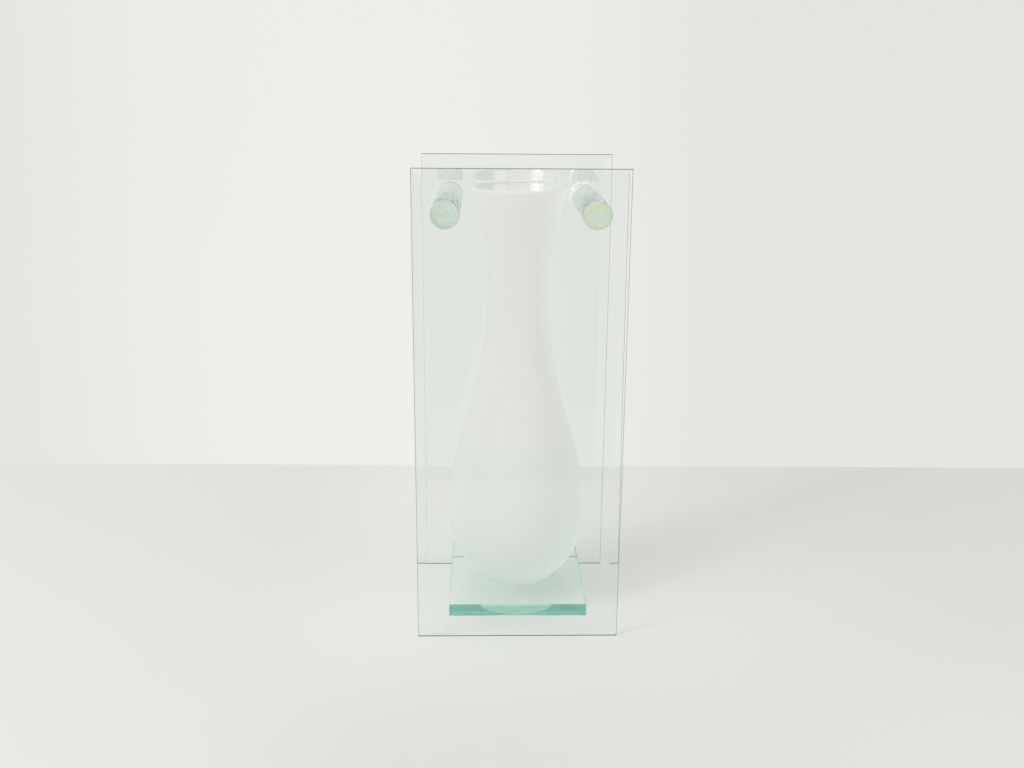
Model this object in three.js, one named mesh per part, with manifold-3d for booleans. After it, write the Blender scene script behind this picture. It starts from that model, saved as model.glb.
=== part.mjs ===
// Hanging glass vase: a frosted blown bottle vase that seems to float between two upright panes.
// The panes stand on their bottom edges. Two solid glass rods tie them together near the top, and a
// thick glass shelf ties them near the bottom and carries the vase. Every joint is a clear bond.
//
// Millimetres, +Z up. The origin is on the table, in the middle of the footprint. The front pane
// faces -Y, and +X is to the right of someone who looks at it.

import * as THREE from "three";
import { mergeVertices } from "three/addons/utils/BufferGeometryUtils.js";
import Module from "manifold-3d";

const wasm = await Module();
wasm.setup();

// Driving dimensions of the frame.
const PANE_WIDTH = 129;
const PANE_HEIGHT = 300;
const PANE_THICKNESS = 4;
const PANE_BEVEL_WIDTH = 6.5; // ground bevel round the outward face of each pane
const PANE_BEVEL_DEPTH = 1.4;
const PANE_SPACING = 108; // clear space between the inward faces of the panes

const ROD_DIAMETER = 17.5;
const ROD_INSET = 19.5; // from the panes' side edges in to the rods' axes
const ROD_DROP = 27; // from the panes' top edges down to the rods' axes

const SHELF_WIDTH = 89;
const SHELF_THICKNESS = 8;
const SHELF_HEIGHT = 14; // from the table to the shelf's underside

// Driving dimensions of the vase. Heights are above its foot, radii are of its outer face.
const VASE_HEIGHT = 262;
const VASE_WALL = 2.4;
const VASE_FLOOR = 6; // glass under the deepest point of the inside
const VASE_FOOT_RADIUS = 25.5; // where the wall would meet the shelf if the heel were sharp
const VASE_HEEL = 1.2; // how far the rounding of the foot's edge runs each way
const VASE_BELLY_RADIUS = 45.75;
const VASE_BELLY_HEIGHT = 45.4;
const VASE_NECK_RADIUS = 19.85;
const VASE_NECK_HEIGHT = 199;
const VASE_RIM_RADIUS = 30.7;

// How full each stretch of the outline is: the lengths and leans of its curve handles.
const FOOT_LEAN = THREE.MathUtils.degToRad(60); // of the wall where it leaves the foot
const FOOT_HANDLE = 3.2;
const BELLY_HANDLE_DOWN = 32;
const BELLY_HANDLE_UP = 51.4;
const NECK_HANDLE_DOWN = 77.3;
const NECK_HANDLE_UP = 24.8;
const RIM_FLARE = THREE.MathUtils.degToRad(17.5); // of the lip, out from upright
const RIM_HANDLE = 22.6;
const BOWL_HEIGHT = 11; // of the rounded bottom of the inside, above its deepest point

// Clearances and edge work.
const BOND = 0.3; // thickness of each film of clear adhesive
const BOND_INSET = 0.4; // a film stops this far inside the flat that it grips
const PANE_ARRIS = 0.5; // small chamfer that takes the sharpness off a cut edge
const SHELF_ARRIS = 0.6;
const ROD_ARRIS = 0.5;

// How finely round forms are divided.
const VASE_SIDES = 48;
const ROD_SIDES = 40;
const HEEL_STEPS = 2;
const FOOT_STEPS = 7;
const BODY_STEPS = 13;
const FLARE_STEPS = 7;
const LIP_STEPS = 4;
const BOWL_STEPS = 5;

// Worked out from the sizes above.
const rodLength = PANE_SPACING - 2 * BOND;
const shelfDepth = PANE_SPACING - 2 * BOND;
const shelfTop = SHELF_HEIGHT + SHELF_THICKNESS;
const rodHeight = PANE_HEIGHT - ROD_DROP;
const rodOffset = PANE_WIDTH / 2 - ROD_INSET; // from the middle out to each rod's axis

const clearGlass = new THREE.MeshStandardMaterial({
  color: 0xe4f1ec,
  roughness: 0.03,
  metalness: 0,
  transparent: true,
  opacity: 0.25,
});
const rodGlass = new THREE.MeshStandardMaterial({
  color: 0xd3e6dc,
  roughness: 0.05,
  metalness: 0,
  transparent: true,
  opacity: 0.45,
});
const shelfGlass = new THREE.MeshStandardMaterial({
  color: 0x8cc4b4,
  roughness: 0.05,
  metalness: 0,
  transparent: true,
  opacity: 0.55,
});
const frostedGlass = new THREE.MeshStandardMaterial({
  color: 0xe3e6e1,
  roughness: 0.6,
  metalness: 0,
  transparent: true,
  opacity: 0.85,
});
const adhesive = new THREE.MeshStandardMaterial({
  color: 0xdfe6c8,
  roughness: 0.25,
  metalness: 0,
  transparent: true,
  opacity: 0.5,
});

// A closed mesh as a solid that can be joined and cut.
function solidOf(geometry) {
  const bare = geometry.clone();
  bare.deleteAttribute("normal");
  bare.deleteAttribute("uv");
  const merged = mergeVertices(bare, 1e-4);
  return new wasm.Manifold(
    new wasm.Mesh({
      numProp: 3,
      vertProperties: new Float32Array(merged.attributes.position.array),
      triVerts: new Uint32Array(merged.index.array),
    }),
  );
}

// A solid as a geometry with one normal for each flat face.
function geometryOf(solid) {
  const mesh = solid.getMesh();
  const indexed = new THREE.BufferGeometry();
  indexed.setAttribute("position", new THREE.BufferAttribute(mesh.vertProperties, 3));
  indexed.setIndex(new THREE.BufferAttribute(mesh.triVerts, 1));
  const flat = indexed.toNonIndexed();
  flat.computeVertexNormals();
  return flat;
}

// A rectangle about the origin.
function rectangle(width, height) {
  const shape = new THREE.Shape();
  shape.moveTo(-width / 2, -height / 2);
  shape.lineTo(width / 2, -height / 2);
  shape.lineTo(width / 2, height / 2);
  shape.lineTo(-width / 2, height / 2);
  shape.closePath();
  return shape;
}

// A plate whose core is width x height x depth, with the same sloping edge above and below it.
function bevelledPlate(width, height, depth, slopeWidth, slopeDepth) {
  return new THREE.ExtrudeGeometry(rectangle(width - 2 * slopeWidth, height - 2 * slopeWidth), {
    depth,
    bevelEnabled: true,
    bevelSize: slopeWidth,
    bevelThickness: slopeDepth,
    bevelSegments: 1,
  });
}

// A pane lies on z = 0 with its inward face down, and has the wide ground bevel round its top face.
// The wide bevel comes from one plate, and the arris round the inward face from the other.
function paneGeometry() {
  const edge = PANE_THICKNESS - PANE_BEVEL_DEPTH;
  const ground = bevelledPlate(PANE_WIDTH, PANE_HEIGHT, edge, PANE_BEVEL_WIDTH, PANE_BEVEL_DEPTH);
  const core = PANE_THICKNESS - 2 * PANE_ARRIS;
  const seamed = bevelledPlate(PANE_WIDTH, PANE_HEIGHT, core, PANE_ARRIS, PANE_ARRIS);
  seamed.translate(0, 0, PANE_ARRIS);
  return geometryOf(solidOf(ground).intersect(solidOf(seamed)));
}

// The shelf runs from pane to pane, so its section with four arrises is drawn across that run.
function shelfGeometry() {
  const x = SHELF_WIDTH / 2;
  const z = SHELF_THICKNESS / 2;
  const section = new THREE.Shape();
  section.moveTo(-x + SHELF_ARRIS, -z);
  section.lineTo(x - SHELF_ARRIS, -z);
  section.lineTo(x, -z + SHELF_ARRIS);
  section.lineTo(x, z - SHELF_ARRIS);
  section.lineTo(x - SHELF_ARRIS, z);
  section.lineTo(-x + SHELF_ARRIS, z);
  section.lineTo(-x, z - SHELF_ARRIS);
  section.lineTo(-x, -z + SHELF_ARRIS);
  section.closePath();
  const slab = new THREE.ExtrudeGeometry(section, { depth: shelfDepth, bevelEnabled: false });
  slab.rotateX(Math.PI / 2);
  slab.translate(0, shelfDepth / 2, 0);
  return slab;
}

// A rod lies along Y, ground flat at both ends with a small arris.
function rodGeometry() {
  const radius = ROD_DIAMETER / 2;
  const half = rodLength / 2;
  const profile = [
    new THREE.Vector2(0, -half),
    new THREE.Vector2(radius - ROD_ARRIS, -half),
    new THREE.Vector2(radius, -half + ROD_ARRIS),
    new THREE.Vector2(radius, half - ROD_ARRIS),
    new THREE.Vector2(radius - ROD_ARRIS, half),
    new THREE.Vector2(0, half),
  ];
  return new THREE.LatheGeometry(profile, ROD_SIDES);
}

// A round film of adhesive, flat, from z = 0 up.
function roundFilm(radius, sides) {
  const profile = [
    new THREE.Vector2(0, 0),
    new THREE.Vector2(radius, 0),
    new THREE.Vector2(radius, BOND),
    new THREE.Vector2(0, BOND),
  ];
  return new THREE.LatheGeometry(profile, sides).rotateX(Math.PI / 2);
}

// The outer face of the vase: the rounded heel of the foot, then three curves up to the lip that
// meet smoothly at the belly and at the neck, where the wall stands upright.
function outerOutline() {
  const rim = new THREE.Vector2(VASE_RIM_RADIUS, VASE_HEIGHT - lipRise());
  const corner = new THREE.Vector2(VASE_FOOT_RADIUS, 0);
  const lean = new THREE.Vector2(Math.cos(FOOT_LEAN), Math.sin(FOOT_LEAN));
  const heelEnd = corner.clone().addScaledVector(lean, VASE_HEEL);
  const heel = new THREE.QuadraticBezierCurve(
    new THREE.Vector2(VASE_FOOT_RADIUS - VASE_HEEL, 0),
    corner,
    heelEnd,
  );
  const foot = new THREE.CubicBezierCurve(
    heelEnd,
    corner.clone().addScaledVector(lean, FOOT_HANDLE),
    new THREE.Vector2(VASE_BELLY_RADIUS, VASE_BELLY_HEIGHT - BELLY_HANDLE_DOWN),
    new THREE.Vector2(VASE_BELLY_RADIUS, VASE_BELLY_HEIGHT),
  );
  const body = new THREE.CubicBezierCurve(
    new THREE.Vector2(VASE_BELLY_RADIUS, VASE_BELLY_HEIGHT),
    new THREE.Vector2(VASE_BELLY_RADIUS, VASE_BELLY_HEIGHT + BELLY_HANDLE_UP),
    new THREE.Vector2(VASE_NECK_RADIUS, VASE_NECK_HEIGHT - NECK_HANDLE_DOWN),
    new THREE.Vector2(VASE_NECK_RADIUS, VASE_NECK_HEIGHT),
  );
  const flare = new THREE.CubicBezierCurve(
    new THREE.Vector2(VASE_NECK_RADIUS, VASE_NECK_HEIGHT),
    new THREE.Vector2(VASE_NECK_RADIUS, VASE_NECK_HEIGHT + NECK_HANDLE_UP),
    new THREE.Vector2(
      rim.x - RIM_HANDLE * Math.sin(RIM_FLARE),
      rim.y - RIM_HANDLE * Math.cos(RIM_FLARE),
    ),
    rim,
  );
  const stretches = [
    [heel, HEEL_STEPS],
    [foot, FOOT_STEPS],
    [body, BODY_STEPS],
    [flare, FLARE_STEPS],
  ];
  const points = [];
  for (const [curve, steps] of stretches) {
    for (let i = 0; i < steps; i += 1) {
      points.push(pointWithNormal(curve, i / steps));
    }
  }
  points.push(pointWithNormal(flare, 1));
  return points;
}

// How far the round lip stands above the end of the outer outline.
function lipRise() {
  return (VASE_WALL / 2) * (1 + Math.sin(RIM_FLARE));
}

// A point of an outline with the direction that leads from it into the glass.
function pointWithNormal(curve, t) {
  const tangent = curve.getTangent(t);
  return { at: curve.getPoint(t), inward: new THREE.Vector2(-tangent.y, tangent.x) };
}

// The fire-polished lip: a half circle from the outer face over to the inner face.
function lipOutline(end) {
  const radius = VASE_WALL / 2;
  const centre = end.at.clone().addScaledVector(end.inward, radius);
  const start = Math.atan2(-end.inward.y, -end.inward.x);
  const points = [];
  for (let i = 1; i <= LIP_STEPS; i += 1) {
    const turn = start + (Math.PI * i) / LIP_STEPS;
    points.push(
      new THREE.Vector2(centre.x + radius * Math.cos(turn), centre.y + radius * Math.sin(turn)),
    );
  }
  return points;
}

// The rounded bottom of the inside, from the wall down to the axis.
function bowlOutline(from, next) {
  const slope = (next.x - from.x) / (next.y - from.y);
  const corner = new THREE.Vector2(from.x - slope * (from.y - VASE_FLOOR), VASE_FLOOR);
  const bowl = new THREE.QuadraticBezierCurve(from, corner, new THREE.Vector2(0, VASE_FLOOR));
  return bowl.getPoints(BOWL_STEPS).slice(1);
}

// The vase: outer face, lip, inner face one wall thickness inside the outer one, and the bowl.
function vaseGeometry() {
  const outer = outerOutline();
  const profile = [new THREE.Vector2(0, 0), ...outer.map((point) => point.at)];
  profile.push(...lipOutline(outer[outer.length - 1]));
  const inner = outer
    .slice(0, -1)
    .reverse()
    .map((point) => point.at.clone().addScaledVector(point.inward, VASE_WALL))
    .filter((point) => point.y > VASE_FLOOR + BOWL_HEIGHT);
  profile.push(...inner);
  profile.push(...bowlOutline(inner[inner.length - 1], inner[inner.length - 2]));
  return new THREE.LatheGeometry(profile, VASE_SIDES).rotateX(Math.PI / 2);
}

function addMesh(parent, name, geometry, material) {
  const mesh = new THREE.Mesh(geometry, material);
  mesh.name = name;
  parent.add(mesh);
  return mesh;
}

// Both panes stand upright with their plain faces inward and their ground bevels outward.
function addPanes(parent) {
  const front = addMesh(parent, "front_pane", paneGeometry().rotateX(Math.PI / 2), clearGlass);
  front.position.set(0, -PANE_SPACING / 2, PANE_HEIGHT / 2);
  const rear = addMesh(parent, "rear_pane", paneGeometry().rotateX(-Math.PI / 2), clearGlass);
  rear.position.set(0, PANE_SPACING / 2, PANE_HEIGHT / 2);
}

// One rod with the film of adhesive at each of its ends.
function addRod(parent, side, x) {
  const group = new THREE.Group();
  group.position.set(x, 0, rodHeight);
  parent.add(group);
  addMesh(group, `${side}_rod`, rodGeometry(), rodGlass);
  const gripRadius = ROD_DIAMETER / 2 - ROD_ARRIS - BOND_INSET;
  const filmGeometry = roundFilm(gripRadius, ROD_SIDES).rotateX(Math.PI / 2);
  const front = addMesh(group, `${side}_rod_front_bond`, filmGeometry, adhesive);
  front.position.y = -rodLength / 2;
  const rear = addMesh(group, `${side}_rod_rear_bond`, filmGeometry.clone(), adhesive);
  rear.position.y = PANE_SPACING / 2;
}

// The shelf with the film of adhesive along its front and rear edges.
function addShelf(parent) {
  const group = new THREE.Group();
  group.position.z = SHELF_HEIGHT + SHELF_THICKNESS / 2;
  parent.add(group);
  addMesh(group, "shelf", shelfGeometry(), shelfGlass);
  const inset = 2 * (SHELF_ARRIS + BOND_INSET);
  const film = new THREE.BoxGeometry(SHELF_WIDTH - inset, BOND, SHELF_THICKNESS - inset);
  const front = addMesh(group, "shelf_front_bond", film, adhesive);
  front.position.y = -(PANE_SPACING - BOND) / 2;
  const rear = addMesh(group, "shelf_rear_bond", film.clone(), adhesive);
  rear.position.y = (PANE_SPACING - BOND) / 2;
}

// The vase stands on the shelf on a film of adhesive as wide as its foot.
function addVase(parent) {
  const group = new THREE.Group();
  group.position.z = shelfTop;
  parent.add(group);
  const film = roundFilm(VASE_FOOT_RADIUS - VASE_HEEL - BOND_INSET, VASE_SIDES);
  addMesh(group, "vase_foot_bond", film, adhesive);
  const vase = addMesh(group, "vase", vaseGeometry(), frostedGlass);
  vase.position.z = BOND;
}

const part = new THREE.Group();
addPanes(part);
addRod(part, "left", -rodOffset);
addRod(part, "right", rodOffset);
addShelf(part);
addVase(part);

export default part;
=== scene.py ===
"""Looks of the vase that floats between two glass panes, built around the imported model.

Metres, +Z up, the front pane faces -Y. Every piece sits where its CAD node is.
"""

import math

import bmesh
import bpy
from mathutils import Matrix, Vector


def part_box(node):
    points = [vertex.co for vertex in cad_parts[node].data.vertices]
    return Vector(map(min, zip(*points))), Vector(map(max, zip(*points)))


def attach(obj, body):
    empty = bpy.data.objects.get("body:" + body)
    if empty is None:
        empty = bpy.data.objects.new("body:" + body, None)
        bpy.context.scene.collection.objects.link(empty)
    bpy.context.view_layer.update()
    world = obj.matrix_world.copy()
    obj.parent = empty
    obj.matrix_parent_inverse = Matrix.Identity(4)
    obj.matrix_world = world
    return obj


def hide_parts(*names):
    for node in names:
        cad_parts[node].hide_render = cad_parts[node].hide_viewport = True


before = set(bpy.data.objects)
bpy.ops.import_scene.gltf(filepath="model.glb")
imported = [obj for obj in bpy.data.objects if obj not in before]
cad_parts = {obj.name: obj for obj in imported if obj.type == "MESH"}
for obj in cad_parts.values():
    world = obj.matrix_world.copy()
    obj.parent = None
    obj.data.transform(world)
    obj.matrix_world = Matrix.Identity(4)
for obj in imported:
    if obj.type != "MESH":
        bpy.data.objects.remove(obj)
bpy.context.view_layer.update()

MM = 0.001

# Air left between a film and the glass it bonds, so that no two faces lie in one place.
FACE_GAP = 0.02 * MM
# How far the film under the foot reaches into the shelf, so that it shows through its front edge.
FILM_SINK = 0.05 * MM

# Panes.
PANE_LEFT = -64.5 * MM
PANE_BEVEL_WIDTH = 6.5 * MM
PANE_BEVEL_DEPTH = 1.4 * MM
PANE_ARRIS = 0.5 * MM
FRONT_SEAM = 0.36 * MM  # ground strip where the bevel meets the edge
REAR_SEAM = 0.20 * MM

# Shelf and rods.
SHELF_ARRIS = 0.35 * MM
SHELF_END_ARRIS = 0.25 * MM
ROD_ARRIS = 0.7 * MM
FILM_CORNER = 0.8 * MM
FILM_HOLLOW = 0.06 * MM

# Width of the beads of adhesive round the rods' ends.
BEADS = {
    "left_rod_front_bond": 0.15 * MM,
    "left_rod_rear_bond": 0.9 * MM,
    "right_rod_front_bond": 0.30 * MM,
    "right_rod_rear_bond": 1.2 * MM,
}

# Yellowed streak in the film at the right rod's front end. The offset is from the rod's middle.
STAIN_OFFSET = Vector((-1.8 * MM, 0, 2.7 * MM))
STAIN_SLOPE = math.radians(31)
STAIN_HALF_WIDTH = 1.3 * MM
STAIN_TINT = (0.925, 0.915, 0.770)

# Sides of the round pieces.
VASE_SIDES = 192
FOOT_FILM_SIDES = 144
ROD_SIDES = 128
ROD_FILM_SIDES = 96

# Vase. Heights are above its foot.
VASE_HEIGHT = 262 * MM
VASE_WALL = 2.4 * MM
VASE_FLOOR = 6 * MM
VASE_FOOT_RADIUS = 25.5 * MM
VASE_HEEL = 1.2 * MM
VASE_BELLY_RADIUS = 45.75 * MM
VASE_BELLY_HEIGHT = 45.4 * MM
VASE_NECK_RADIUS = 19.85 * MM
VASE_NECK_HEIGHT = 199 * MM
VASE_RIM_RADIUS = 30.7 * MM
FOOT_LEAN = math.radians(60)
FOOT_HANDLE = 3.2 * MM
BELLY_HANDLE_DOWN = 32 * MM
BELLY_HANDLE_UP = 51.4 * MM
NECK_HANDLE_DOWN = 77.3 * MM
NECK_HANDLE_UP = 24.8 * MM
RIM_FLARE = math.radians(17.5)
RIM_HANDLE = 22.6 * MM
BOWL_HEIGHT = 11 * MM

# Heights above the table between which the vase's looks change, as (not yet, fully).
BODY_GREENS = (135 * MM, 30 * MM)
# Painted shade: the heel is darkened between these heights.
HEEL_PAINTED_SHADE = (34 * MM, 23.5 * MM)
WAVES_BEGIN = (281 * MM, 262 * MM)
BELLY_WHITENS = (45 * MM, 75 * MM)
SHOULDER_WHITENS = (205 * MM, 160 * MM)
FLARE_WHITENS = (225 * MM, 255 * MM)

# How much of the etched surface's white reflects, instead of letting light on through: at the
# heel and neck, at the belly and flare, and where it is seen from inside the glass.
CHALK_NECK = 0.25
CHALK_BELLY = 0.30
CHALK_INSIDE = 0.44

# What each glass takes from light, per metre: red, green, blue.
PANE_ABSORBS = (1.5, 0.4, 1.0)
SHELF_ABSORBS = (8.0, 2.0, 3.0)
ROD_ABSORBS = (0.7, 0.4, 0.5)
VASE_ABSORBS = (0.25, 0.12, 0.22)

PANE_IOR = 1.485
GLASS_IOR = 1.52
ADHESIVE_IOR = 1.5

# Colours. LAMP_LIGHT is what a surface leaves of the lamps' light that passes it.
CLEAR = (1.0, 1.0, 1.0)
PANE_BASE = (0.973, 0.985, 0.977)
PANE_LAMP_LIGHT = (0.985, 0.989, 0.987)
PANE_DUST = (0.86, 0.86, 0.84)
# The ground edge's dark base and dark matt skin are painted shade; the skin holds a little grime too.
EDGE_PAINTED_SHADE_BASE = (0.13, 0.175, 0.15)
EDGE_LAMP_LIGHT = (0.30, 0.35, 0.33)
EDGE_PAINTED_SHADE_AND_GRIME = (0.09, 0.11, 0.10)
ROD_BASE = (0.93, 0.955, 0.94)
ROD_LAMP_LIGHT = (0.93, 0.95, 0.935)
# Grey on the rods' sides: partly adhesive residue, partly painted shade.
ROD_RESIDUE_AND_SHADE = (0.40, 0.50, 0.46)
SHELF_BASE = (0.995, 1.0, 0.995)
SHELF_LAMP_LIGHT = (0.998, 1.0, 0.998)
VASE_BASE_WORN = (0.985, 0.985, 0.985)
VASE_LAMP_LIGHT = (0.72, 0.72, 0.72)
VASE_WHITE = (1.0, 0.972, 0.985)
VASE_WHITE_LOW = (0.920, 0.960, 0.943)
# Painted shade on the heel.
VASE_HEEL_PAINTED_SHADE = (0.83, 0.89, 0.855)
INSIDE_BASE = (0.99, 0.99, 0.988)
INSIDE_LAMP_LIGHT = (0.985, 0.985, 0.985)
BEAD_BUBBLE = (0.98, 0.99, 0.98)
# The white of the clouded bead, a painted highlight.
BEAD_PAINTED_HIGHLIGHT = (0.97, 0.975, 0.97)
BEAD_LAMP_LIGHT = (0.90, 0.92, 0.91)
BEAD_MATT_LIGHT = (0.97, 0.98, 0.975)


# Node graphs.

class Graph:
    """Adds and joins the nodes of one material or of the world."""

    def __init__(self, owner):
        owner.use_nodes = True
        self.tree = owner.node_tree
        self.tree.nodes.clear()

    def add(self, kind, **settings):
        node = self.tree.nodes.new("ShaderNode" + kind)
        for name, value in settings.items():
            setattr(node, name, value)
        return node

    def feed(self, socket, value):
        """Joins an output to a socket, or writes a plain value into it."""
        if isinstance(value, bpy.types.NodeSocket):
            self.tree.links.new(value, socket)
        else:
            socket.default_value = value

    def math(self, operation, a, b=0.0):
        node = self.add("Math", operation=operation)
        self.feed(node.inputs[0], a)
        self.feed(node.inputs[1], b)
        return node.outputs[0]

    def ramp(self, value, low, high, to_low=0.0, to_high=1.0, kind="SMOOTHSTEP"):
        """Carries a value from low..high over to to_low..to_high, and holds it there."""
        node = self.add("MapRange", interpolation_type=kind)
        for name, number in zip(
            ("Value", "From Min", "From Max", "To Min", "To Max"),
            (value, low, high, to_low, to_high),
        ):
            self.feed(node.inputs[name], number)
        return node.outputs["Result"]

    def colours(self, share, a, b):
        node = self.add("Mix", data_type="RGBA")
        self.feed(node.inputs[0], share)
        self.feed(node.inputs[6], a)
        self.feed(node.inputs[7], b)
        return node.outputs[2]

    def floats(self, share, a, b):
        node = self.add("Mix", data_type="FLOAT")
        self.feed(node.inputs[0], share)
        self.feed(node.inputs[2], a)
        self.feed(node.inputs[3], b)
        return node.outputs[0]

    def product(self, a, b):
        return self.math("MULTIPLY", a, b)

    def split(self, vector):
        """The X, Y and Z of a vector."""
        node = self.add("SeparateXYZ")
        self.feed(node.inputs[0], vector)
        return node.outputs

    def vector(self, operation, a, b=None, out="Vector"):
        node = self.add("VectorMath", operation=operation)
        self.feed(node.inputs[0], a)
        if b is not None:
            self.feed(node.inputs[1], b)
        return node.outputs[out]

    def shaders(self, share, a, b):
        node = self.add("MixShader")
        self.feed(node.inputs[0], share)
        self.feed(node.inputs[1], a)
        self.feed(node.inputs[2], b)
        return node.outputs[0]

    def noise(self, where, scale, detail=2.0, roughness=0.5, distortion=0.0):
        node = self.add("TexNoise")
        self.feed(node.inputs["Vector"], where)
        node.inputs["Scale"].default_value = scale
        node.inputs["Detail"].default_value = detail
        node.inputs["Roughness"].default_value = roughness
        node.inputs["Distortion"].default_value = distortion
        return node.outputs["Fac"]

    def specks(self, where, scale, size):
        """Scattered dots: 1 inside a dot, 0 outside."""
        cells = self.add("TexVoronoi", feature="F1")
        self.feed(cells.inputs["Vector"], where)
        cells.inputs["Scale"].default_value = scale
        return self.ramp(cells.outputs["Distance"], size, size * 0.6)

    def bump(self, height, distance, strength=1.0):
        node = self.add("Bump")
        node.inputs["Distance"].default_value = distance
        node.inputs["Strength"].default_value = strength
        self.feed(node.inputs["Height"], height)
        return node.outputs["Normal"]


def shade(rgb):
    """A colour in the form that a socket takes."""
    return (*rgb, 1.0)


def lets_light_through(graph, surface, lamp_tint, matt_tint):
    """Lamp light, and light between matt surfaces, goes straight through, each with its tint."""
    path = graph.add("LightPath")
    through = graph.math("MAXIMUM", path.outputs["Is Shadow Ray"], path.outputs["Is Diffuse Ray"])
    clear = graph.add("BsdfTransparent")
    tint = graph.colours(path.outputs["Is Shadow Ray"], matt_tint, lamp_tint)
    graph.feed(clear.inputs["Color"], tint)
    return graph.shaders(through, surface, clear.outputs[0])


def glass_surface(graph, base, roughness, normal, ior=GLASS_IOR):
    body = graph.add("BsdfPrincipled")
    graph.feed(body.inputs["Base Color"], base)
    graph.feed(body.inputs["Roughness"], roughness)
    body.inputs["IOR"].default_value = ior
    body.inputs["Transmission Weight"].default_value = 1.0
    graph.feed(body.inputs["Normal"], normal)
    return body.outputs[0]


def matt_surface(graph, colour, normal=None):
    body = graph.add("BsdfDiffuse")
    graph.feed(body.inputs["Color"], colour)
    if normal is not None:
        graph.feed(body.inputs["Normal"], normal)
    return body.outputs[0]


def put_out(graph, surface, per_metre=None):
    """Sends the surface to the output, with the body colour of glass.

    per_metre is how much red, green and blue the glass takes from light, per metre.
    """
    out = graph.add("OutputMaterial")
    graph.feed(out.inputs["Surface"], surface)
    if per_metre:
        density = max(per_metre) * 1.1
        node = graph.add("VolumeAbsorption")
        node.inputs["Density"].default_value = density
        node.inputs["Color"].default_value = shade([1 - take / density for take in per_metre])
        graph.feed(out.inputs["Volume"], node.outputs[0])


def pane_material(name, left_ground=1.0):
    """Float glass: polished faces, a polished bevel with faint waves and a satin ground edge darkened
    with painted shade.

    left_ground is how far the left edge is ground, from 0, polished, to 1.
    """
    mat = bpy.data.materials.new(name)
    graph = Graph(mat)
    place = graph.add("TexCoord")
    where = place.outputs["Object"]
    facing = graph.math("ABSOLUTE", graph.split(place.outputs["Normal"])["Y"])
    left = graph.ramp(graph.split(where)["X"], PANE_LEFT, PANE_LEFT + 1 * MM, left_ground, 1.0)
    edge = graph.product(graph.ramp(facing, 0.93, 0.85, kind="LINEAR"), left)
    bevel = graph.ramp(facing, 0.998, 0.985, kind="LINEAR")

    grain = graph.noise(where, 2600, 3.0, 0.6)
    smear = graph.noise(where, 34, 5.0, 0.62, 0.6)
    wipe = graph.ramp(smear, 0.56, 0.74)
    polished = graph.ramp(wipe, 0.0, 1.0, 0.012, 0.05, "LINEAR")
    ground = graph.ramp(grain, 0.3, 0.7, 0.26, 0.42, "LINEAR")
    roughness = graph.floats(edge, polished, ground)

    wave = graph.noise(where, 42, 1.0, 0.4)
    waviness = graph.product(wave, graph.ramp(bevel, 0, 1, 0.12, 1.0, "LINEAR"))
    tooth = graph.product(grain, graph.product(edge, 0.6))
    normal = graph.bump(graph.math("ADD", waviness, tooth), 0.00002)

    # The ground edge's dark base is painted shade.
    base = graph.colours(edge, shade(PANE_BASE), shade(EDGE_PAINTED_SHADE_BASE))
    glass = glass_surface(graph, base, roughness, normal, PANE_IOR)

    dust = matt_surface(graph, shade(PANE_DUST))
    specks = graph.specks(where, 210, 0.045)
    spread = graph.ramp(graph.noise(where, 11, 3.0), 0.45, 0.7)
    haze = graph.ramp(smear, 0.45, 0.8, 0.0, 0.012, "LINEAR")
    cover = graph.math("ADD", haze, graph.product(graph.product(specks, spread), 0.3))
    surface = graph.shaders(cover, glass, dust)
    # Painted shade: a dark matt skin over the ground edge, with a little grime.
    skin = matt_surface(graph, shade(EDGE_PAINTED_SHADE_AND_GRIME))
    surface = graph.shaders(graph.product(edge, 0.5), surface, skin)

    side = graph.math("MAXIMUM", graph.product(bevel, 0.5), graph.product(edge, 0.9))
    tint = graph.colours(side, shade(PANE_LAMP_LIGHT), shade(EDGE_LAMP_LIGHT))
    put_out(graph, lets_light_through(graph, surface, tint, shade(CLEAR)), PANE_ABSORBS)
    return mat


def bar_material(name, absorbs, base, lamp_light, end_roughness, cloud=0.0):
    """Solid glass that runs along Y: its end faces are ground, and the rest is polished.

    cloud is how much grey residue of adhesive clouds the sides; the grey is partly painted shade.
    """
    mat = bpy.data.materials.new(name)
    graph = Graph(mat)
    place = graph.add("TexCoord")
    where = place.outputs["Object"]
    facing = graph.math("ABSOLUTE", graph.split(place.outputs["Normal"])["Y"])
    end = graph.ramp(facing, 0.5, 0.9)
    grain = graph.noise(where, 2400, 3.0, 0.6)
    smear = graph.noise(where, 55, 4.0, 0.6, 0.5)
    polished = graph.ramp(smear, 0.4, 0.8, 0.015, 0.06, "LINEAR")
    ground = graph.ramp(grain, 0.3, 0.7, end_roughness, end_roughness * 1.4, "LINEAR")
    roughness = graph.floats(end, polished, ground)
    drawn = graph.add("Mapping")
    graph.feed(drawn.inputs["Vector"], where)
    drawn.inputs["Scale"].default_value = (1.0, 0.12, 1.0)
    lines = graph.noise(drawn.outputs[0], 420, 2.0, 0.5)
    normal = graph.bump(lines, 0.000006)
    surface = glass_surface(graph, shade(base), roughness, normal)
    if cloud:
        patch = graph.noise(drawn.outputs[0], 130, 4.0, 0.6)
        patch = graph.ramp(patch, 0.3, 0.7, cloud * 0.7, cloud * 1.2)
        # The grey on the sides is partly residue and partly painted shade.
        residue = matt_surface(graph, shade(ROD_RESIDUE_AND_SHADE))
        sides = graph.math("SUBTRACT", 1.0, end)
        surface = graph.shaders(graph.product(sides, patch), surface, residue)
    surface = lets_light_through(graph, surface, shade(lamp_light), shade(lamp_light))
    put_out(graph, surface, absorbs)
    return mat


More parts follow.
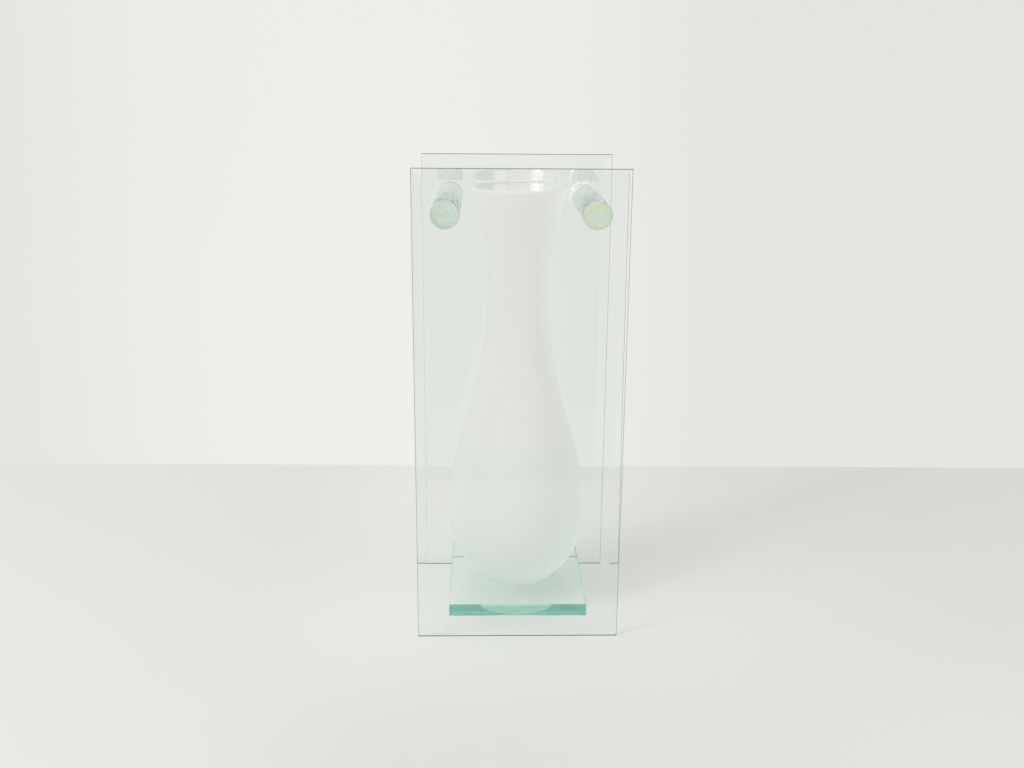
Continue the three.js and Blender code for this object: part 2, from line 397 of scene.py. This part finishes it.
def frosted_material():
    """Etched outside of the vase: satin, milky white, with fine grain and a few handling marks.

    It is a little darker and greener towards the bottom, and its heel is darkened with painted shade.
    """
    mat = bpy.data.materials.new("frosted_outside")
    graph = Graph(mat)
    where = graph.add("TexCoord").outputs["Object"]
    grain = graph.noise(where, 5200, 3.0, 0.7)
    cloud = graph.noise(where, 46, 4.0, 0.55)
    marks = graph.ramp(graph.noise(where, 120, 5.0, 0.65, 0.8), 0.62, 0.76)
    satin = graph.ramp(cloud, 0.3, 0.7, 0.52, 0.60, "LINEAR")
    roughness = graph.math("ADD", satin, graph.product(marks, -0.05))
    pits = graph.specks(where, 330, 0.05)
    height = graph.math("SUBTRACT", grain, graph.product(pits, 0.8))
    normal = graph.bump(height, 0.00003, 0.6)
    base = graph.colours(graph.ramp(cloud, 0.3, 0.7), shade(CLEAR), shade(VASE_BASE_WORN))
    glass = glass_surface(graph, base, roughness, normal)

    milk = graph.add("BsdfTranslucent")
    above = graph.split(where)["Z"]
    body = graph.colours(graph.ramp(above, *BODY_GREENS), shade(VASE_WHITE), shade(VASE_WHITE_LOW))
    # Painted shade darkens the heel.
    body = graph.colours(graph.ramp(above, *HEEL_PAINTED_SHADE), body, shade(VASE_HEEL_PAINTED_SHADE))
    graph.feed(milk.inputs["Color"], body)
    graph.feed(milk.inputs["Normal"], normal)
    chalk = matt_surface(graph, body, normal)
    inside = graph.add("NewGeometry").outputs["Backfacing"]
    belly = graph.product(graph.ramp(above, *SHOULDER_WHITENS), graph.ramp(above, *BELLY_WHITENS))
    whiter = graph.math("ADD", belly, graph.ramp(above, *FLARE_WHITENS))
    outside = graph.ramp(whiter, 0.0, 1.0, CHALK_NECK, CHALK_BELLY, "LINEAR")
    share = graph.ramp(inside, 0.0, 1.0, outside, CHALK_INSIDE, "LINEAR")
    veil = graph.shaders(share, milk.outputs[0], chalk)
    cover = graph.ramp(cloud, 0.3, 0.7, 0.91, 0.96, "LINEAR")
    surface = graph.shaders(cover, glass, veil)
    surface = lets_light_through(graph, surface, shade(VASE_LAMP_LIGHT), shade(CLEAR))
    put_out(graph, surface, VASE_ABSORBS)
    return mat


def blown_material():
    """Fire-polished inside and lip of the vase, with the faint waves of blown glass."""
    mat = bpy.data.materials.new("blown_inside")
    graph = Graph(mat)
    where = graph.add("TexCoord").outputs["Object"]
    wavy = graph.ramp(graph.split(where)["Z"], *WAVES_BEGIN)
    wave = graph.product(graph.noise(where, 60, 1.0, 0.4), wavy)
    smear = graph.noise(where, 90, 4.0, 0.6)
    normal = graph.bump(wave, 0.00012)
    roughness = graph.ramp(smear, 0.4, 0.8, 0.02, 0.09, "LINEAR")
    glass = glass_surface(graph, shade(INSIDE_BASE), roughness, normal)
    surface = lets_light_through(graph, glass, shade(INSIDE_LAMP_LIGHT), shade(CLEAR))
    put_out(graph, surface, VASE_ABSORBS)
    return mat


def bead_material(name, base, white):
    """Outer skin of a bead of adhesive: glossy, with tiny bubbles.

    white is the most that it is clouded, from 0, clear, to 1; the clouded white is a painted highlight.
    """
    mat = bpy.data.materials.new(name)
    graph = Graph(mat)
    where = graph.add("TexCoord").outputs["Object"]
    ripple = graph.noise(where, 700, 2.0, 0.5)
    normal = graph.bump(ripple, 0.00003)
    base = graph.colours(graph.specks(where, 800, 0.08), shade(base), shade(BEAD_BUBBLE))
    roughness = graph.ramp(ripple, 0.3, 0.7, 0.03, 0.08, "LINEAR")
    glass = glass_surface(graph, base, roughness, normal, ADHESIVE_IOR)
    chalk = matt_surface(graph, shade(BEAD_PAINTED_HIGHLIGHT))
    share = graph.ramp(graph.noise(where, 240, 3.0, 0.6), 0.25, 0.6, white * 0.4, white)
    surface = graph.shaders(share, glass, chalk)
    surface = lets_light_through(graph, surface, shade(BEAD_LAMP_LIGHT), shade(BEAD_MATT_LIGHT))
    put_out(graph, surface)
    return mat


def adhesive_material(name, tint, haze, haze_share, stain=None, glow=0.0):
    """A cured film of clear adhesive: tinted, a little cloudy, with tiny trapped bubbles.

    haze is the colour of the clouded part, and haze_share is how much of the film it takes.
    stain is (point, direction, half width, tint): a yellowed streak across the film.
    glow is how much of the cloudy share lets light on through it.
    """
    mat = bpy.data.materials.new(name)
    graph = Graph(mat)
    where = graph.add("TexCoord").outputs["Object"]
    cloud = graph.noise(where, 260, 4.0, 0.6, 0.4)
    bubbles = graph.specks(where, 900, 0.07)
    colour = graph.colours(graph.ramp(cloud, 0.3, 0.7), shade(tint), shade([c * 0.97 for c in tint]))
    share = graph.ramp(cloud, 0.35, 0.75, haze_share * 0.7, haze_share * 1.3, "LINEAR")
    share = graph.math("ADD", share, graph.product(bubbles, 0.25))
    if stain:
        point, direction, half_width, stain_tint = stain
        across = Vector((-direction[2], 0, direction[0])).normalized()
        offset = graph.vector("SUBTRACT", where, point)
        project = graph.vector("DOT_PRODUCT", offset, across, "Value")
        wander = graph.noise(where, 330, 3.0, 0.6)
        wander = graph.ramp(wander, 0.0, 1.0, -half_width, half_width, "LINEAR")
        away = graph.math("ADD", project, wander)
        aged = graph.ramp(away, -half_width * 0.8, half_width * 0.2)
        fades = graph.ramp(away, half_width * 2.6, half_width * 0.6, 0.2, 1.0)
        streak = graph.product(aged, fades)
        colour = graph.colours(streak, colour, shade(stain_tint))
        share = graph.math("ADD", share, graph.product(streak, 0.08))
    clear = graph.add("BsdfTransparent")
    graph.feed(clear.inputs["Color"], colour)
    cured = graph.add("BsdfPrincipled")
    graph.feed(cured.inputs["Base Color"], graph.colours(0.5, shade(haze), colour))
    cured.inputs["Roughness"].default_value = 0.3
    cured.inputs["IOR"].default_value = ADHESIVE_IOR
    body = cured.outputs[0]
    if glow:
        through = graph.add("BsdfTranslucent")
        through.inputs["Color"].default_value = shade(haze)
        body = graph.shaders(glow, body, through.outputs[0])
    put_out(graph, graph.shaders(share, clear.outputs[0], body))
    return mat


# Mesh building.

def mesh_object(name, build, materials, smooth_angle=None):
    """Makes an object from what build() puts into a bmesh."""
    bm = bmesh.new()
    build(bm)
    bmesh.ops.recalc_face_normals(bm, faces=bm.faces)
    mesh = bpy.data.meshes.new(name)
    bm.to_mesh(mesh)
    bm.free()
    for material in materials:
        mesh.materials.append(material)
    if smooth_angle is None:
        mesh.shade_flat()
    else:
        mesh.shade_smooth()
        mesh.set_sharp_from_angle(angle=smooth_angle)
    obj = bpy.data.objects.new(name, mesh)
    bpy.context.scene.collection.objects.link(obj)
    return obj


def stack_rings(bm, rings):
    """Joins closed rings of points one after another, and caps the first and the last."""
    rows = [[bm.verts.new(point) for point in ring] for ring in rings]
    count = len(rows[0])
    for low, high in zip(rows, rows[1:]):
        for i in range(count):
            j = (i + 1) % count
            bm.faces.new((low[i], low[j], high[j], high[i]))
    bm.faces.new(rows[0])
    bm.faces.new(rows[-1])


def turn_profile(bm, profile, sides, place, slots=None):
    """Turns a profile of (radius, height) points round an axis. Radius 0 is a single point.

    place(x, y, height) gives the point in the frame. slots has the material slot of each stretch.
    """
    rows = []
    for radius, height in profile:
        if radius < 1e-9:
            rows.append([bm.verts.new(place(0, 0, height))])
            continue
        ring = []
        for i in range(sides):
            angle = 2 * math.pi * i / sides
            ring.append(bm.verts.new(place(radius * math.cos(angle), radius * math.sin(angle), height)))
        rows.append(ring)
    for k, (low, high) in enumerate(zip(rows, rows[1:])):
        for i in range(sides):
            j = (i + 1) % sides
            if len(low) == 1:
                corners = (low[0], high[i], high[j])
            elif len(high) == 1:
                corners = (low[i], low[j], high[0])
            else:
                corners = (low[i], low[j], high[j], high[i])
            face = bm.faces.new(corners)
            if slots:
                face.material_index = slots[k]


def quarter_turn(steps):
    """Shares (along, across) of a rounded corner, from its start to its end."""
    for i in range(steps + 1):
        angle = math.pi / 2 * i / steps
        yield 1 - math.cos(angle), math.sin(angle)


def build_pane(name, outward, seam, material):
    """A pane with its ground bevel towards outward (-1 front, +1 rear)."""
    low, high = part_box(name)
    face_out = low.y if outward < 0 else high.y
    thickness = high.y - low.y

    def ring(inset, depth):
        y = face_out - outward * depth
        return [
            (low.x + inset, y, low.z + inset),
            (high.x - inset, y, low.z + inset),
            (high.x - inset, y, high.z - inset),
            (low.x + inset, y, high.z - inset),
        ]

    slope = PANE_BEVEL_DEPTH / PANE_BEVEL_WIDTH
    rings = [ring(PANE_BEVEL_WIDTH, 0)]
    rings.append(ring(seam, PANE_BEVEL_DEPTH - seam * slope))
    rings.append(ring(seam * 0.25, PANE_BEVEL_DEPTH + seam * 0.2))
    rings.append(ring(0, PANE_BEVEL_DEPTH + seam))
    for across, along in quarter_turn(3):
        rings.append(ring(PANE_ARRIS * across, thickness - PANE_ARRIS * (1 - along)))
    return mesh_object(name + "_glass", lambda bm: stack_rings(bm, rings), [material])


def build_shelf(material):
    """A thick slab with rounded arrises along its run and small ones at its ends."""
    low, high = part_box("shelf")
    middle = (low + high) / 2
    straight = (high - low) / 2 - Vector((SHELF_ARRIS, 0, SHELF_ARRIS))

    def section(inset, y):
        reach = SHELF_ARRIS - inset
        points = []
        for sx, sz, flip in ((1, 1, False), (-1, 1, True), (-1, -1, False), (1, -1, True)):
            corner = []
            for i in range(5):
                angle = math.pi / 2 * i / 4
                x = middle.x + sx * (straight.x + reach * math.cos(angle))
                corner.append((x, y, middle.z + sz * (straight.z + reach * math.sin(angle))))
            points += reversed(corner) if flip else corner
        return points

    rings = []
    for across, along in quarter_turn(3):
        rings.append(section(SHELF_END_ARRIS * (1 - along), low.y + SHELF_END_ARRIS * across))
    for across, along in reversed(list(quarter_turn(3))):
        rings.append(section(SHELF_END_ARRIS * (1 - along), high.y - SHELF_END_ARRIS * across))
    return mesh_object("shelf_glass", lambda bm: stack_rings(bm, rings), [material])


def along_y(centre):
    return lambda x, y, height: (centre.x + x, height, centre.z + y)


def build_rod(name, material):
    low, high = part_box(name)
    centre = (low + high) / 2
    radius = (high.z - low.z) / 2
    profile = [(0, low.y)]
    for across, along in quarter_turn(4):
        profile.append((radius - ROD_ARRIS * (1 - along), low.y + ROD_ARRIS * across))
    for across, along in reversed(list(quarter_turn(4))):
        profile.append((radius - ROD_ARRIS * (1 - along), high.y - ROD_ARRIS * across))
    profile.append((0, high.y))
    return mesh_object(
        name + "_glass",
        lambda bm: turn_profile(bm, profile, ROD_SIDES, along_y(centre)),
        [material],
        math.radians(30),
    )


def build_round_film(name, toward, bead, materials):
    """A film between a rod and a pane, with the bead that was pressed out round the rod.

    toward is the way from the pane to the rod along Y.
    """
    low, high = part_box(name)
    centre = (low + high) / 2
    radius = (high.z - low.z) / 2
    pane_side, rod_side = (low.y, high.y) if toward > 0 else (high.y, low.y)
    pane_side += toward * FACE_GAP
    rod_side -= toward * FACE_GAP
    profile = [(0, pane_side), (radius * 0.5, pane_side), (radius + bead, pane_side)]
    slots = [0, 0]
    reach = abs(rod_side - pane_side) + bead
    for i in range(1, 9):
        angle = math.pi / 2 * i / 8
        out = bead * (1 - math.sin(angle))
        profile.append((radius + FACE_GAP + out, pane_side + toward * reach * (1 - math.cos(angle))))
        slots.append(1)
    for across, along in reversed(list(quarter_turn(4))):
        inner = radius + FACE_GAP - ROD_ARRIS * (1 - along)
        profile.append((inner, rod_side + toward * ROD_ARRIS * across))
        slots.append(0)
    profile.append((0, rod_side))
    slots.append(0)
    return mesh_object(
        name + "_film",
        lambda bm: turn_profile(bm, profile, ROD_FILM_SIDES, along_y(centre), slots),
        materials,
        math.radians(30),
    )


def build_flat_film(name, material):
    """A film along one end of the shelf, rounded at its corners."""
    low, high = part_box(name)
    near, far = low.y + FACE_GAP, high.y - FACE_GAP
    left, right = low.x + FILM_CORNER, high.x - FILM_CORNER
    bottom, top = low.z + FILM_CORNER, high.z - FILM_CORNER

    def outline(inset, y):
        reach = FILM_CORNER - inset
        points = []
        for start, (cx, cz) in enumerate(((right, top), (left, top), (left, bottom), (right, bottom))):
            for i in range(5):
                angle = math.pi / 2 * (start + i / 4)
                points.append((cx + reach * math.cos(angle), y, cz + reach * math.sin(angle)))
        return points

    rings = [outline(0, near), outline(FILM_HOLLOW, (near + far) / 2), outline(0, far)]
    return mesh_object(name + "_film", lambda bm: stack_rings(bm, rings), [material])


def build_foot_film(material):
    """The film under the foot, with the bead that was pressed out round it."""
    low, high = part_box("vase_foot_bond")
    centre = (low + high) / 2
    reach = VASE_FOOT_RADIUS - VASE_HEEL
    bottom = low.z - FILM_SINK
    top = high.z - FACE_GAP
    profile = [
        (0, bottom),
        (reach * 0.55, bottom),
        (reach, bottom),
        (reach + 0.25 * MM, bottom),
        (reach + 0.35 * MM, low.z + 0.02 * MM),
        (reach + 0.28 * MM, low.z + 0.14 * MM),
        (reach + 0.10 * MM, top - 0.01 * MM),
        (reach, top),
        (reach * 0.55, top),
        (0, top),
    ]

    def place(x, y, height):
        return centre.x + x, centre.y + y, height

    return mesh_object(
        "vase_foot_film",
        lambda bm: turn_profile(bm, profile, FOOT_FILM_SIDES, place),
        [material],
        math.radians(50),
    )


# The vase's outline.

def bezier(points, t):
    """Point and direction of a Bezier curve of any degree."""
    rows = [Vector(p) for p in points]
    while len(rows) > 2:
        rows = [a.lerp(b, t) for a, b in zip(rows, rows[1:])]
    return rows[0].lerp(rows[1], t), (rows[1] - rows[0]).normalized()


def outer_curves():
    """Foot, belly, neck and flare of the outer face, as (control points, steps)."""
    rim = Vector((VASE_RIM_RADIUS, VASE_HEIGHT - VASE_WALL / 2 * (1 + math.sin(RIM_FLARE))))
    corner = Vector((VASE_FOOT_RADIUS, 0))
    lean = Vector((math.cos(FOOT_LEAN), math.sin(FOOT_LEAN)))
    heel_end = corner + lean * VASE_HEEL
    belly = Vector((VASE_BELLY_RADIUS, VASE_BELLY_HEIGHT))
    neck = Vector((VASE_NECK_RADIUS, VASE_NECK_HEIGHT))
    flare = Vector((math.sin(RIM_FLARE), math.cos(RIM_FLARE)))
    down, up = Vector((0, -1)), Vector((0, 1))
    return [
        ((Vector((VASE_FOOT_RADIUS - VASE_HEEL, 0)), corner, heel_end), 8),
        ((heel_end, corner + lean * FOOT_HANDLE, belly + down * BELLY_HANDLE_DOWN, belly), 24),
        ((belly, belly + up * BELLY_HANDLE_UP, neck + down * NECK_HANDLE_DOWN, neck), 44),
        ((neck, neck + up * NECK_HANDLE_UP, rim - flare * RIM_HANDLE, rim), 26),
    ]


def vase_profile():
    """Profile points from the middle of the foot, up the outside, over the lip and down inside.

    Also gives the material slot of each stretch: 0 etched outside, 1 polished lip and inside.
    """
    outer = []
    for points, steps in outer_curves():
        outer += [bezier(points, i / steps) for i in range(steps)]
    outer.append(bezier(outer_curves()[-1][0], 1))
    inward = [Vector((-way.y, way.x)) for _, way in outer]
    foot = VASE_FOOT_RADIUS - VASE_HEEL
    profile = [Vector((0, 0)), Vector((foot * 0.5, 0)), Vector((foot - 0.3 * MM, 0))]
    profile += [point for point, _ in outer]
    slots = [1, 1, 1] + [0] * (len(outer) - 1)

    radius = VASE_WALL / 2
    lip = outer[-1][0] + inward[-1] * radius
    start = math.atan2(-inward[-1].y, -inward[-1].x)
    for i in range(1, 17):
        turn = start + math.pi * i / 16
        profile.append(lip + Vector((math.cos(turn), math.sin(turn))) * radius)
        slots.append(0 if i <= 10 else 1)

    inside = [point + way * VASE_WALL for (point, _), way in zip(outer[:-1], inward)]
    inside = [point for point in reversed(inside) if point.y > VASE_FLOOR + BOWL_HEIGHT]
    a, b = inside[-2:]
    slope = (a.x - b.x) / (a.y - b.y)
    corner = Vector((b.x - slope * (b.y - VASE_FLOOR), VASE_FLOOR))
    bowl = [bezier((b, corner, Vector((0, VASE_FLOOR))), i / 20)[0] for i in range(1, 21)]
    bowl[-1].x = 0
    profile += inside + bowl
    slots += [1] * (len(inside) + len(bowl))
    return profile, slots


def build_vase(outside, inside):
    low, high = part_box("vase")
    centre = (low + high) / 2
    points, slots = vase_profile()
    profile = [tuple(point) for point in points]

    def place(x, y, height):
        return centre.x + x, centre.y + y, low.z + height

    return mesh_object(
        "vase_glass",
        lambda bm: turn_profile(bm, profile, VASE_SIDES, place, slots),
        [outside, inside],
        math.radians(40),
    )


front_glass = pane_material("clear_float_glass")
rear_glass = pane_material("clear_float_glass_rear", left_ground=0.15)
rod_glass = bar_material(
    "rod_glass", ROD_ABSORBS, ROD_BASE, ROD_LAMP_LIGHT, end_roughness=0.30, cloud=0.15
)
shelf_glass = bar_material(
    "shelf_glass", SHELF_ABSORBS, SHELF_BASE, SHELF_LAMP_LIGHT, end_roughness=0.04
)
frosted = frosted_material()
blown = blown_material()
clear_film = adhesive_material(
    "clear_adhesive", tint=(0.97, 0.985, 0.965), haze=(0.82, 0.88, 0.80), haze_share=0.10
)
shelf_film = adhesive_material(
    "shelf_adhesive", tint=(0.78, 0.90, 0.885), haze=(0.72, 0.86, 0.82), haze_share=0.06
)
foot_film = adhesive_material(
    "foot_adhesive", tint=(0.97, 0.995, 0.975), haze=(1.0, 0.985, 0.97), haze_share=0.97, glow=0.85
)
# Painted shade: the clear bead's dark base darkens the rings at the rods' ends. Painted highlight: the
# clouded white bead, used at the right rod's rear end only.
clear_bead_painted_shade = bead_material("adhesive_bead", base=(0.30, 0.42, 0.40), white=0.0)
white_bead_painted_highlight = bead_material("cloudy_adhesive_bead", base=(0.90, 0.93, 0.92), white=0.95)

right_low, right_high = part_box("right_rod_front_bond")
stain = (
    tuple((right_low + right_high) / 2 + STAIN_OFFSET),
    (math.cos(STAIN_SLOPE), 0, math.sin(STAIN_SLOPE)),
    STAIN_HALF_WIDTH,
    STAIN_TINT,
)
stained_film = adhesive_material(
    "yellowed_adhesive",
    tint=(0.972, 0.976, 0.934),
    haze=(0.82, 0.87, 0.76),
    haze_share=0.12,
    stain=stain,
)


# The pieces, each in place of its CAD node.

def fit(piece, node):
    """The piece rides on the part's body in place of its CAD node."""
    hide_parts(node)
    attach(piece, "root")


fit(build_pane("front_pane", -1, FRONT_SEAM, front_glass), "front_pane")
fit(build_pane("rear_pane", 1, REAR_SEAM, rear_glass), "rear_pane")
fit(build_shelf(shelf_glass), "shelf")
fit(build_vase(frosted, blown), "vase")
fit(build_foot_film(foot_film), "vase_foot_bond")
for side in ("left", "right"):
    fit(build_rod(side + "_rod", rod_glass), side + "_rod")
    for end, toward in (("front", 1), ("rear", -1)):
        film = f"{side}_rod_{end}_bond"
        stained = film == "right_rod_front_bond"
        # The clouded white bead at the right rod's rear end is a painted highlight.
        cloudy = film == "right_rod_rear_bond"
        materials = [stained_film if stained else clear_film, white_bead_painted_highlight if cloudy else clear_bead_painted_shade]
        fit(build_round_film(film, toward, BEADS[film], materials), film)
for end in ("front", "rear"):
    film = f"shelf_{end}_bond"
    fit(build_flat_film(film, shelf_film), film)


# Stage: floor, backdrop, lamps and camera.

WALL_TINT = (0.990, 1.0, 0.952)
WALL_TINT_HIGH = (0.984, 0.984, 0.958)
# The backdrop is painted brighter round one way: a painted pool of light.
WALL_BASE = 0.79
WALL_PEAK = 0.862
WALL_PEAK_WAY = (math.sin(math.radians(-6)), math.cos(math.radians(-6)), 0)
WALL_PEAK_HALF_WIDTH = math.radians(19)
ROOM_DIM = (0.48, 0.48, 0.48)
SOFT_LIGHT = (0.995, 0.99301, 0.980075)

FLOOR_LEVEL = -0.0002
FLOOR_FAR = 0.2657
FLOOR_SKEW = -0.0164
FLOOR_REACH = 4.0
# The floor's tones differ by painted light and shade, except for the mottle, which is the board's own.
FLOOR_LEFT = (0.636, 0.637, 0.619)
FLOOR_RIGHT = (0.577, 0.580, 0.562)
FLOOR_FRONT_LEFT = (0.557, 0.557, 0.544)
FLOOR_FRONT_RIGHT = (0.605, 0.605, 0.592)
FLOOR_BESIDE = (0.592, 0.595, 0.578)
FLOOR_MOTTLE = (0.6, 0.6, 0.6)
FLOOR_UNDER_LAMPS = (0.50, 0.50, 0.49)
FLOOR_FAR_AWAY = (0.72, 0.72, 0.706)
# Where the floor ends in what glass and metal reflect, and the dim room begins.
FLOOR_FRONT = -0.336
FLOOR_FRONT_BLUR = 0.004

# Azimuth and elevation in degrees, distance, size, power.
LAMPS = {
    "key": (-54, 34, 2.4, (1.40, 1.30), 17.5),
    "key_core": (-54, 34, 2.38, (0.32, 0.60), 10.0),
    "fill": (55, 27, 2.4, (1.40, 0.60), 5.5),
}
LAMP_TINT = (1.0, 1.0, 0.985)
LAMPS_FACE = Vector((0, 0, 0.13))

CAMERA_PLACE = (-0.0202, -0.7067, 0.3566)
CAMERA_PAN = -0.02359
CAMERA_TILT = -0.27838
CAMERA_ROLL = -0.00736
CAMERA_LENS = 39.05
CAMERA_SENSOR = 36


def build_world():
    """Pale backdrop for what the camera sees, with a painted pool of light, soft light for the rest, a
    dim room in front.
    """
    world = bpy.data.worlds.new("studio")
    bpy.context.scene.world = world
    graph = Graph(world)
    way = graph.split(graph.add("TexCoord").outputs["Generated"])
    level = graph.add("CombineXYZ")
    graph.feed(level.inputs["X"], way["X"])
    graph.feed(level.inputs["Y"], way["Y"])
    flat = graph.vector("NORMALIZE", level.outputs[0])
    toward = graph.vector("DOT_PRODUCT", flat, WALL_PEAK_WAY, "Value")
    glow = graph.ramp(toward, math.cos(WALL_PEAK_HALF_WIDTH), 1.0, WALL_BASE, WALL_PEAK)
    high = graph.ramp(way["Z"], -0.20, 0.02)
    scaled = graph.add("VectorMath", operation="SCALE")
    graph.feed(scaled.inputs[0], graph.colours(high, shade(WALL_TINT), shade(WALL_TINT_HIGH)))
    graph.feed(scaled.inputs["Scale"], glow)
    wall = scaled.outputs[0]

    bright = graph.ramp(way["Y"], -0.96, -0.86)
    room = graph.colours(bright, shade(ROOM_DIM), wall)

    path = graph.add("LightPath")
    mirror = graph.math("MAXIMUM", path.outputs["Is Glossy Ray"], path.outputs["Is Transmission Ray"])
    seen = graph.math("MAXIMUM", path.outputs["Is Camera Ray"], mirror)
    bounced = graph.math("MINIMUM", path.outputs["Glossy Depth"], 1.0)
    colour = graph.colours(seen, shade(SOFT_LIGHT), wall)
    colour = graph.colours(graph.product(bounced, mirror), colour, room)
    sky = graph.add("Background")
    graph.feed(sky.inputs["Color"], colour)
    out = graph.add("OutputWorld")
    graph.feed(out.inputs["Surface"], sky.outputs[0])


def floor_material():
    """Smooth pale board with a faint mottle, and painted light and shade: a little lighter to the left
    of the object.

    It is painted darker to the right, towards the front, further out below the lamps, and lighter again
    far away.
    """
    mat = bpy.data.materials.new("pale_board")
    graph = Graph(mat)
    where = graph.add("TexCoord").outputs["Object"]
    place = graph.split(where)
    mottle = graph.noise(where, 9, 3.0, 0.5)
    tone = graph.ramp(place["X"], -0.10, 0.35)
    colour = graph.colours(tone, shade(FLOOR_LEFT), shade(FLOOR_RIGHT))
    near = graph.ramp(place["Y"], -0.02, -0.20)
    front = graph.colours(tone, shade(FLOOR_FRONT_LEFT), shade(FLOOR_FRONT_RIGHT))
    colour = graph.colours(near, colour, front)
    beside = graph.ramp(place["X"], -0.055, -0.20)
    colour = graph.colours(beside, colour, shade(FLOOR_BESIDE))
    colour = graph.colours(graph.ramp(mottle, 0.3, 0.7, 0.0, 0.02), colour, shade(FLOOR_MOTTLE))
    reach = graph.vector("LENGTH", where, out="Value")
    colour = graph.colours(graph.ramp(reach, 0.55, 1.2), colour, shade(FLOOR_UNDER_LAMPS))
    colour = graph.colours(graph.ramp(reach, 2.0, 3.4), colour, shade(FLOOR_FAR_AWAY))
    board = matt_surface(graph, colour)

    path = graph.add("LightPath")
    bounced = graph.math("MINIMUM", path.outputs["Glossy Depth"], 1.0)
    beyond = graph.ramp(place["Y"], FLOOR_FRONT + FLOOR_FRONT_BLUR, FLOOR_FRONT - FLOOR_FRONT_BLUR)
    spread = graph.math("ADD", graph.product(place["Y"], 0.22), graph.math("ABSOLUTE", place["X"]))
    beyond = graph.product(beyond, graph.ramp(spread, 0.14, 0.08))
    dark = graph.add("Emission")
    dark.inputs["Color"].default_value = shade(ROOM_DIM)
    put_out(graph, graph.shaders(graph.product(bounced, beyond), board, dark.outputs[0]))
    return mat


def build_floor():
    mesh = bpy.data.meshes.new("floor")
    far = [(x, FLOOR_FAR + FLOOR_SKEW * x) for x in (FLOOR_REACH, -FLOOR_REACH)]
    outline = [(-FLOOR_REACH, -FLOOR_REACH), (FLOOR_REACH, -FLOOR_REACH), *far]
    mesh.from_pydata([(x, y, FLOOR_LEVEL) for x, y in outline], [], [(0, 1, 2, 3)])
    mesh.materials.append(floor_material())
    floor = bpy.data.objects.new("floor", mesh)
    bpy.context.scene.collection.objects.link(floor)


def add_lamp(name, azimuth, elevation, distance, size, power):
    """A soft box that faces the object. Azimuth 0 is in front of it, positive to the right."""
    light = bpy.data.lights.new(name, "AREA")
    light.shape = "RECTANGLE"
    light.size, light.size_y = size
    light.energy = power
    light.color = LAMP_TINT
    lamp = bpy.data.objects.new(name, light)
    a, e = math.radians(azimuth), math.radians(elevation)
    way = Vector((math.sin(a) * math.cos(e), -math.cos(a) * math.cos(e), math.sin(e)))
    lamp.location = LAMPS_FACE + way * distance
    lamp.rotation_euler = way.to_track_quat("Z", "Y").to_euler()
    lamp.visible_camera = False
    bpy.context.scene.collection.objects.link(lamp)


def build_camera():
    data = bpy.data.cameras.new("camera")
    data.sensor_width = CAMERA_SENSOR
    data.lens = CAMERA_LENS
    camera = bpy.data.objects.new("camera", data)
    turn = Matrix.Rotation(CAMERA_PAN, 4, "Z") @ Matrix.Rotation(CAMERA_TILT, 4, "X")
    turn = turn @ Matrix.Rotation(CAMERA_ROLL, 4, "Y") @ Matrix.Rotation(math.pi / 2, 4, "X")
    camera.matrix_world = Matrix.Translation(CAMERA_PLACE) @ turn
    bpy.context.scene.collection.objects.link(camera)
    bpy.context.scene.camera = camera


build_world()
build_floor()
for name, values in LAMPS.items():
    add_lamp(name, *values)
build_camera()

scene = bpy.context.scene
scene.view_settings.view_transform = "Standard"
scene.cycles.max_bounces = 24
scene.cycles.transmission_bounces = 24
scene.cycles.glossy_bounces = 16
scene.cycles.transparent_max_bounces = 32
